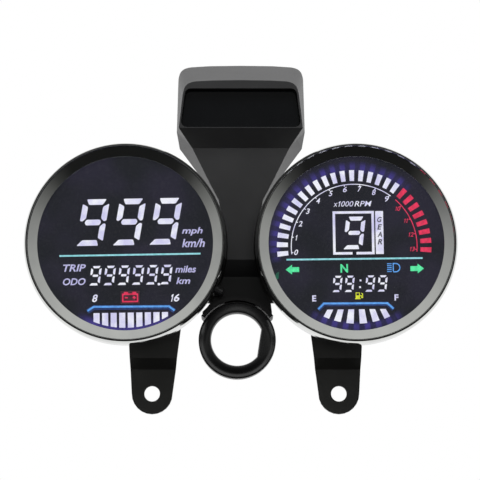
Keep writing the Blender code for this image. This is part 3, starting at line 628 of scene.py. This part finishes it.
SPEED_DIGIT = {"width": 13.3, "height": 23.6, "thick": 2.85, "gap": 1.05, "slant": 0.185}
ODOMETER_DIGIT = {"width": 5.3, "height": 9.8, "thick": 1.15, "gap": 0.62, "slant": 0.15}
GEAR_DIGIT = {"width": 9.8, "height": 16.5, "thick": 2.05, "gap": 0.8, "slant": 0.13}
CLOCK_DIGIT = {"width": 4.5, "height": 8.2, "thick": 1.0, "gap": 0.55, "slant": 0.12}


def nines(lefts, foot, style):
    return [shape for left in lefts for shape in nine(left, foot, **style)]


# ---- speedometer's display: places in millimetres from the gauge's centre ----------------
inked("speed_digits", "speedo", LIT_WHITE, nines((-25.1, -6.8, 11.5), -0.6, SPEED_DIGIT))
ODOMETER_LEFT, ODOMETER_PITCH, ODOMETER_FOOT = -18.6, 7.1, -20.7
small = nines([ODOMETER_LEFT + ODOMETER_PITCH * i for i in range(6)], ODOMETER_FOOT, ODOMETER_DIGIT)
small.append(eased([(15.9, -21.2, 0.5), (17.2, -21.2, 0.5), (17.2, -20.0, 0.5), (15.9, -20.0, 0.5)]))
inked("odometer_digits", "speedo", LIT_WHITE, small)
inked("unit_labels", "speedo", LIT_LABEL, texts=[
    letters("mph", (28.4, 3.7, 38.9, 7.9)), letters("km/h", (28.4, -2.2, 39.9, 2.1)),
    letters("TRIP", (-31.4, -13.5, -20.0, -9.9)), letters("ODO", (-31.6, -20.4, -20.2, -16.9)),
    letters("miles", (24.8, -15.0, 35.3, -11.5)), letters("km", (25.2, -20.7, 32.3, -17.4))])
numbered("voltage_labels", "speedo", LIT_WHITE, [("8", (-15.6, -27.2), 3.8), ("16", (24.6, -27.6), 3.8)])
inked("divider_line", "speedo", LIT_CYAN, [box_outline(-33.2, -5.95, 37.6, -5.1)])
battery = frame_outlines(-2.0, -29.5, 6.1, -25.1, 0.7)
battery += [box_outline(-1.0, -25.1, 1.0, -24.3), box_outline(3.1, -25.1, 5.1, -24.3)]
minus_and_plus = [box_outline(-0.6, -27.5, 0.9, -26.9), box_outline(3.3, -27.5, 4.9, -26.9),
                  box_outline(3.8, -28.0, 4.4, -27.5), box_outline(3.8, -26.9, 4.4, -26.4)]
inked("battery_icon", "speedo", LIT_RED, battery + minus_and_plus, lift=LIFT)
BRACKET_T = 0.95             # width of the lines over the bar gauges
VOLTAGE_LINE = [(-19.4, -33.5), (-16.2, -31.5), (21.4, -31.9), (24.2, -34.0)]
inked("voltage_bracket", "speedo", LIT_BLUE, [band(VOLTAGE_LINE, BRACKET_T)], lift=LIFT)
# Painted glow below the blue line and round the battery icon.
inked("voltage_bracket_halo", "speedo", HALO_BLUE, [band([(x, z - 0.35) for x, z in VOLTAGE_LINE], 2.3)])
inked("battery_icon_halo", "speedo", HALO_RED, [box_outline(-2.7, -30.2, 6.8, -23.8)])
VOLTAGE_PITCH, VOLTAGE_BAR = 4.28, 3.05
voltage_lefts = [-16.4 + VOLTAGE_PITCH * i for i in range(9)]
inked("voltage_bars", "speedo", LIT_WHITE,
      [clipped_bar(left, left + VOLTAGE_BAR, -34.7, 42.3) for left in voltage_lefts])

# ---- tachometer's display ----------------------------------------------------------------
BAR_HALF = 1.9               # half a bar's angle
BAR_IN, BAR_OUT = 33.3, 38.8
TICK_IN, TICK_OUT = 30.7, 31.5
LINE_R, LINE_T = 31.6, 0.42
NUMBER_R = 29.3
WHITE_BARS, ALL_BARS = 19, 27


def tach_bar(index):
    angle = FIRST - STEP * index
    outer = sweep(ARC, BAR_OUT, angle - BAR_HALF, angle + BAR_HALF, 4)
    inner = sweep(ARC, BAR_IN, angle + BAR_HALF, angle - BAR_HALF, 4)
    return outer + inner


def tach_numbers(values, tall):
    return [(str(value), polar(ARC, NUMBER_R, FIRST - 2 * STEP * value), tall) for value in values]


def tach_ticks(values):
    angles = [FIRST - 2 * STEP * value for value in values]
    return [band([polar(ARC, TICK_IN, angle), polar(ARC, TICK_OUT, angle)], 0.45) for angle in angles]


inked("rev_bars_white", "tacho", LIT_WHITE, [tach_bar(i) for i in range(WHITE_BARS)])
inked("rev_bars_red", "tacho", LIT_RED, [tach_bar(i) for i in range(WHITE_BARS, ALL_BARS)])
inked("rev_arc_white", "tacho", LIT_WHITE, [band(sweep(ARC, LINE_R, 186.5, 53.5), LINE_T)]
      + tach_ticks(range(10)))
inked("rev_arc_red", "tacho", LIT_RED, [band(sweep(ARC, LINE_R, 48.0, -5.5), LINE_T)]
      + tach_ticks(range(10, 14)))
numbered("rev_numbers_white", "tacho", LIT_WHITE, tach_numbers(range(10), 2.75))
numbered("rev_numbers_red", "tacho", LIT_RED, tach_numbers(range(10, 14), 2.2))
inked("rev_label", "tacho", LIT_WHITE, [figure_one((-8.9, 19.1, -7.2, 21.8))],
      [letters("x", (-11.0, 19.1, -9.0, 21.0), weight=0), letters("000", (-7.2, 19.1, -1.0, 21.8), weight=0),
       letters("RPM", (-0.5, 19.1, 8.2, 21.8), weight=0.004)])
gear = frame_outlines(-11.6, -5.3, 9.2, 16.7, 1.26)
gear[0:1] = [box_outline(-11.6, -5.3, -1.9, -4.04), box_outline(0.1, -5.3, 9.2, -4.04)]
gear.append(box_outline(9.85, -5.2, 13.8, 16.6))
inked("gear_frame", "tacho", LIT_WHITE, gear)
inked("gear_letters", "tacho", UNLIT, lift=LIFT, texts=[
    letters(letter, (10.75, 10.9 - 3.75 * i, 13.15, 13.6 - 3.75 * i), weight=0.03)
    for i, letter in enumerate("GEAR")])
inked("gear_digit", "tacho", LIT_WHITE, nines([-6.8], -2.6, GEAR_DIGIT))
inked("divider_line", "tacho", LIT_CYAN, [box_outline(-35.1, -7.95, 33.2, -7.1)])


def arrow(tip, way, centre_z, head=3.2, length=6.8, half=2.45, shaft=1.25):
    """Turn-signal arrow pointing along way, -1 left and 1 right."""
    neck, tail = tip - way * head, tip - way * length
    return [(tip, centre_z), (neck, centre_z + half), (neck, centre_z + shaft), (tail, centre_z + shaft),
            (tail, centre_z - shaft), (neck, centre_z - shaft), (neck, centre_z - half)]


inked("turn_arrows", "tacho", LIT_GREEN, [arrow(-35.6, -1, -12.6), arrow(33.8, 1, -12.8)])
# Painted reflection of the left turn arrow: a dim green emissive shape on the panel.
inked("arrow_reflection", "tacho", PAINTED_GREEN_REFLECTION, [[(-40.4, -18.0), (-39.2, -16.9), (-38.9, -13.6),
                                               (-40.1, -14.2), (-41.2, -15.8)]])
inked("neutral_mark", "tacho", LIT_GREEN, texts=[letters("N", (-8.1, -14.4, -4.3, -10.1), 0, 0.03)])
lamp = [(18.4, -14.3)] + sweep((19.6, -12.2), 2.1, -90, 90, 20) + [(18.4, -10.1), (18.4, -14.0)]
inked("high_beam_icon", "tacho", LIT_BLUE, [band(lamp, 0.55)]
      + [box_outline(15.3, -14.35 + 0.98 * i, 17.6, -13.90 + 0.98 * i) for i in range(5)])
clock = nines((-12.5, -6.4, 3.9, 10.1), -24.2, CLOCK_DIGIT)
clock += [box_outline(1.1, -22.3, 2.0, -21.4), box_outline(1.4, -18.9, 2.3, -18.0)]
inked("clock_digits", "tacho", LIT_WHITE, clock)
inked("fuel_icon", "tacho", LIT_YELLOW,
      [box_outline(-1.0, -27.9, 1.7, -27.4), box_outline(-0.7, -27.4, 1.4, -26.0),
       box_outline(-0.7, -26.0, -0.3, -24.9), box_outline(1.0, -26.0, 1.4, -24.9),
       box_outline(-0.7, -24.9, 1.4, -24.5), band([(1.4, -26.2), (2.2, -26.2), (2.2, -27.2),
                                                 (2.8, -27.2), (2.8, -25.4), (2.2, -24.8)], 0.35)])
inked("fuel_labels", "tacho", LIT_WHITE, texts=[
    letters("E", (-22.5, -28.8, -20.5, -25.7), 0, 0.03), letters("F", (18.7, -28.8, 20.7, -25.7), 0, 0.03)])
FUEL_LINE = [(-19.5, -32.7), (-16.7, -29.9), (15.1, -30.1), (18.1, -32.9)]
inked("fuel_bracket", "tacho", LIT_BLUE, [band(FUEL_LINE, BRACKET_T)], lift=LIFT)
# Painted glow below the blue line.
inked("fuel_bracket_halo", "tacho", HALO_BLUE, [band([(x, z - 0.3) for x, z in FUEL_LINE], 2.0)])
FAN = (-0.4, -8.0)           # the point that the fuel bars fan out from
FUEL_PITCH, FUEL_BAR = 5.25, 2.9
fuel_lefts = [-15.0 + FUEL_PITCH * i for i in range(6)]
inked("fuel_bars", "tacho", LIT_WHITE,
      [clipped_bar(left, left + FUEL_BAR, -33.0, 40.2, FAN) for left in fuel_lefts])

# ---- console -----------------------------------------------------------------------------
HOOD_CORNERS_FROM = 148.0    # height above which the hood's outer corners are


def hood_corner(edge):
    """True for an edge that runs front to back over one of the hood's outer corners."""
    one, two = (vert.co for vert in edge.verts)
    return min(one.z, two.z) > HOOD_CORNERS_FROM and abs(one.y - two.y) > 12


shell = softened(copied("console_shroud"), 1.7, 15, 4, hood_corner)
weighted(piece("console_shell", softened(shell, 0.45, 33), CONSOLE,
               ["console_shroud"], sharp=42))
weighted(piece("console_display_window", softened(copied("console_window"), 0.25), WINDOW,
               ["console_window"]))
weighted(piece("console_back_cover", softened(copied("console_rear_cover"), 0.25), CONSOLE,
               ["console_rear_cover"]))

# ---- ignition lock collar ----------------------------------------------------------------
BORE, FLAT, FLAT_ANGLE = 13.1, 11.1, math.radians(-8.6)     # the lock's round and its flat
FLAT_FADES_AT, FLAT_DEEP = 16.2, 6.0                        # the flat reaches this far out and back
COLLAR_RING = [(BORE, 5.4, 0.2), (BORE, 2.2, 0.5), (13.7, 0.2, 0.9), (15.0, 0.3, 1.2), (17.2, 2.0, 1.3),
               (18.5, 4.4, 0.8), (18.9, 4.9, 0.15), (19.4, 4.9, 0.15), (19.4, 12.0, 0.8),
               (18.2, 13.8, 0.8), (17.0, 13.8, 0.3), (16.4, 6.2, 0.3)]


def d_bore(radius, y, angle):
    """Pull the bore in to the lock's flat, fading out over the rings round it."""
    turn = math.cos(angle - FLAT_ANGLE)
    if turn <= 0 or radius > FLAT_FADES_AT or y - COLLAR_FRONT > FLAT_DEEP:
        return radius
    drop = BORE - min(BORE, FLAT / turn)
    return radius - drop * (FLAT_FADES_AT - radius) / (FLAT_FADES_AT - BORE)


ring = eased([(r, COLLAR_FRONT + depth, size) for r, depth, size in COLLAR_RING], 7)
piece("ignition_collar_ring", shifted(lathe(ring, radius_at=d_bore), (COLLAR_X, 0, COLLAR_Z)),
      COLLAR, ["ignition_collar"], sharp=50)
# The lug that the collar's screws hold: the CAD collar above and behind these two points.
LUG_FOOT = (0, 0, COLLAR_Z + 16.9)
LUG_FRONT = (0, COLLAR_FRONT + 11.5, 0)
lug = copied("ignition_collar")
for spot, way in ((LUG_FOOT, (0, 0, 1)), (LUG_FRONT, (0, 1, 0))):
    bmesh.ops.bisect_plane(lug, geom=lug.verts[:] + lug.edges[:] + lug.faces[:], plane_co=spot,
                           plane_no=way, clear_inner=True)
    bmesh.ops.holes_fill(lug, edges=[edge for edge in lug.edges if edge.is_boundary])
piece("ignition_collar_lug", softened(lug, 0.25), COLLAR)

# ---- bracket -----------------------------------------------------------------------------
weighted(piece("bracket_sheet", softened(copied("main_bracket"), 0.35, 20), STEEL,
               ["main_bracket"]))

# ---- fasteners, dampers and the button's spring ------------------------------------------
BORE_R, STUD_R, STUD_HEAD_R = 3.2, 2.9, 6.0
HEX_R, NUT_FLAT = 5.77, 5.0
SCREW_R, SCREW_HEAD_R, SCREW_HEAD_T = 1.4, 3.4, 2.2
SOCKET_FLAT, SOCKET_DEEP = 1.1, 1.3
SOCKET_RINGS = (1.2, 1.3)    # the rings of a screw's profile between these radii are its socket's
THREAD_PITCH, THREAD_DEEP = 0.8, 0.3
WASHER_R, WASHER_T = 7.9, 1.2
DAMPER_R, DAMPER_LONG, DAMPER_LIP, NECK_R = 8.9, 7.9, 2.4, 5.7


def six_sided(flat, from_radius):
    """Bend rings wider than from_radius into a hexagon of the given half width across its flats."""
    def reach(radius, y, angle):
        if radius < from_radius:
            return radius
        side = angle % (math.pi / 3) - math.pi / 6
        return min(radius, flat / math.cos(side))
    return reach


def thread(radius, start, end):
    """Ridges of a screw thread between two depths."""
    points = []
    turns = int((end - start) / THREAD_PITCH)
    for i in range(turns):
        depth = start + THREAD_PITCH * i
        points += [(radius, depth, 0), (radius - THREAD_DEEP, depth + THREAD_PITCH / 2, 0)]
    return points


def fitted(node, label, profile, look, closed=True, radius_at=None):
    """Fine turned piece in place of a CAD node; profile is (radius, depth behind its front, size)."""
    low, high = span(node)
    points = [(r, low.y + depth, size) for r, depth, size in profile]
    made = lathe(eased(points, 4, closed), SMALL, closed, radius_at)
    spot = ((low.x + high.x) / 2, 0, (low.z + high.z) / 2)
    return piece(f"{node}_{label}", shifted(made, spot), look, [node], sharp=40)


NUT = [(STUD_R + 0.1, 0.5, 0), (STUD_R + 0.5, 0, 0), (NUT_FLAT, 0, 0), (HEX_R, 0.5, 0), (HEX_R, 4.5, 0),
       (NUT_FLAT, 5.0, 0), (STUD_R + 0.5, 5.0, 0), (STUD_R + 0.1, 4.5, 0)]
WASHER = [(BORE_R, 0, 0.15), (WASHER_R, 0, 0.3), (WASHER_R, WASHER_T, 0.3), (BORE_R, WASHER_T, 0.15)]
STUD = [(0, 0, 0), (STUD_HEAD_R, 0, 0.3), (STUD_HEAD_R, 1.2, 0.3), (STUD_R, 1.2, 0.2)]
STUD += thread(STUD_R, 8.0, 18.4) + [(STUD_R - 0.6, 18.9, 0), (0, 18.9, 0)]
DAMPER = [(BORE_R, 0, 0.3), (DAMPER_R, 0, 0.9), (DAMPER_R, DAMPER_LIP, 0.9), (NECK_R, DAMPER_LIP, 0.3),
          (NECK_R, DAMPER_LONG - DAMPER_LIP, 0.3), (DAMPER_R, DAMPER_LONG - DAMPER_LIP, 0.9),
          (DAMPER_R, DAMPER_LONG, 0.9), (BORE_R, DAMPER_LONG, 0.3)]


def screw(length):
    """Button-head screw with a six-sided socket, head towards the back."""
    head = length - SCREW_HEAD_T
    tip = [(0, 0, 0), (SCREW_R - 0.5, 0, 0), (SCREW_R, 0.8, 0)]
    dome = [(SCREW_R, head, 0.1), (SCREW_HEAD_R, head, 0.2), (SCREW_HEAD_R, head + 1.0, 1.2),
            (2.2, length, 0.9)]
    hole = [(1.28, length, 0), (1.27, length - SOCKET_DEEP, 0), (0, length - SOCKET_DEEP, 0)]
    return tip + thread(SCREW_R, 0.9, head - 0.8) + dome + hole


def socket(radius, y, angle):
    """Bend only the socket's rings into a hexagon."""
    low, high = SOCKET_RINGS
    return six_sided(SOCKET_FLAT, low)(radius, y, angle) if low < radius < high else radius


for gauge in GAUGES:
    for side in ("inner", "outer"):
        fitted(f"{gauge}_nut_{side}", "hex", NUT, ZINC, radius_at=six_sided(NUT_FLAT, 4.0))
        fitted(f"{gauge}_washer_{side}", "disc", WASHER, ZINC)
        fitted(f"{gauge}_stud_{side}", "threaded", STUD, ZINC, closed=False)
        fitted(f"{gauge}_damper_{side}", "moulded", DAMPER, RUBBER)
for name in [name for name in NODES if "screw_" in name]:
    low, high = span(name)
    fitted(name, "button_head", screw(high.y - low.y), ZINC, closed=False, radius_at=socket)

spring = piece("mode_button_coil", copied("mode_button_spring"), SPRING,
               ["mode_button_spring"], sharp=60)
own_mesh(spring)

# ---- carried-over CAD nodes --------------------------------------------------------------
CARRIED = {"lens_seal": RUBBER, "light_guide": GUIDE, "display_frame": WHITE, "circuit_board": BOARD,
           "cable_grommet": RUBBER, "mode_switch": SWITCH, "mode_button_boot": BUTTON}
for name, node in NODES.items():
    look = next((look for part, look in CARRIED.items() if part in name), None)
    if name == "mode_button":
        look = BUTTON
    if name.endswith("lcd_panel"):
        look = DISPLAYS[name.split("_")[0]]
    if look:
        node.data.materials.clear()
        node.data.materials.append(look)

# ---- stage, light and camera -------------------------------------------------------------
SCENE = bpy.context.scene
SCENE.view_settings.view_transform = "Standard"
MIDDLE = Vector((-0.0028, CREST * MM, GAUGES["speedo"].z * MM + 0.00096))    # where the camera looks


SKY_STOPS = [(-1.0, 0.010), (-0.62, 0.016), (-0.50, 0.05), (-0.35, 0.14), (-0.1, 0.29), (0.14, 0.36),
             (0.5, 0.42), (1.0, 0.58)]
SKY_TINT = (1.0, 1.01, 0.99)
AHEAD = (-0.95, -0.45, 0.35, 1.0)    # the studio darkens towards the camera: from, to, factors there
BEHIND = (0.10, 0.42, 0, 1)          # and turns to the pale backdrop behind the object
BACKDROP = (0.9, 0.9, 0.9)


def world_light():
    """White behind the object for the camera; a graded studio for its light and reflections."""
    world = bpy.data.worlds.new("studio")
    SCENE.world = world
    world.use_nodes = True
    tree = world.node_tree
    nodes, links = tree.nodes, tree.links
    parts = nodes.new("ShaderNodeSeparateXYZ")
    links.new(nodes.new("ShaderNodeTexCoord").outputs["Generated"], parts.inputs["Vector"])
    level = ranged(tree, parts.outputs["Z"], -1, 1, 0, 1)
    greys = graded(tree, level, [((height + 1) / 2, grey) for height, grey in SKY_STOPS], SKY_TINT)
    dimmed = nodes.new("ShaderNodeVectorMath")
    dimmed.operation = "SCALE"
    links.new(greys, dimmed.inputs[0])
    links.new(ranged(tree, parts.outputs["Y"], *AHEAD, smooth=True), dimmed.inputs["Scale"])
    behind = ranged(tree, parts.outputs["Y"], *BEHIND, smooth=True)
    sky = mixed(tree, behind, dimmed.outputs["Vector"], BACKDROP)
    seen = nodes.new("ShaderNodeLightPath").outputs["Is Camera Ray"]
    links.new(mixed(tree, seen, sky, (1, 1, 1)), nodes["Background"].inputs["Color"])


def soft_light(name, place, size, power):
    """A panel of light aimed at the object, which doesn't show in gloss or through the lenses."""
    lamp = bpy.data.lights.new(name, "AREA")
    lamp.shape = "RECTANGLE"
    lamp.size, lamp.size_y = size
    lamp.energy = power
    holder = bpy.data.objects.new(name, lamp)
    holder.location = place
    holder.rotation_euler = (MIDDLE - Vector(place)).to_track_quat("-Z", "Y").to_euler()
    holder.visible_glossy = False
    holder.visible_transmission = False
    SCENE.collection.objects.link(holder)


world_light()
soft_light("softbox_above", (0.0, -0.85, 1.05), (1.1, 0.6), 10)
soft_light("fill_ahead", (0.3, -1.6, 0.15), (0.9, 0.9), 5)

REACH, FLOOR_Z = 4.0, -0.26
floor_mesh = bpy.data.meshes.new("pale_floor")
floor_mesh.from_pydata([(-REACH, -REACH, FLOOR_Z), (REACH, -REACH, FLOOR_Z), (REACH, REACH, FLOOR_Z),
                        (-REACH, REACH, FLOOR_Z)], [], [(0, 1, 2, 3)])
floor_mesh.materials.append(surface("pale_floor", (0.80, 0.80, 0.79), (0.77, 0.77, 0.76), (0.6, 0.75),
                                    40, 0.05, 3))
floor = bpy.data.objects.new("pale_floor", floor_mesh)
floor.visible_glossy = False
floor.visible_diffuse = False
SCENE.collection.objects.link(floor)

ELEVATION, DISTANCE = math.radians(-8), 1.3          # seen from slightly below
camera_data = bpy.data.cameras.new("camera")
camera_data.lens = 195
camera_data.sensor_width = 36
camera_data.clip_end = 20
camera = bpy.data.objects.new("camera", camera_data)
camera.location = MIDDLE + Vector((0, -math.cos(ELEVATION), math.sin(ELEVATION))) * DISTANCE
camera.rotation_euler = (MIDDLE - camera.location).to_track_quat("-Z", "Y").to_euler()
SCENE.collection.objects.link(camera)
SCENE.camera = camera
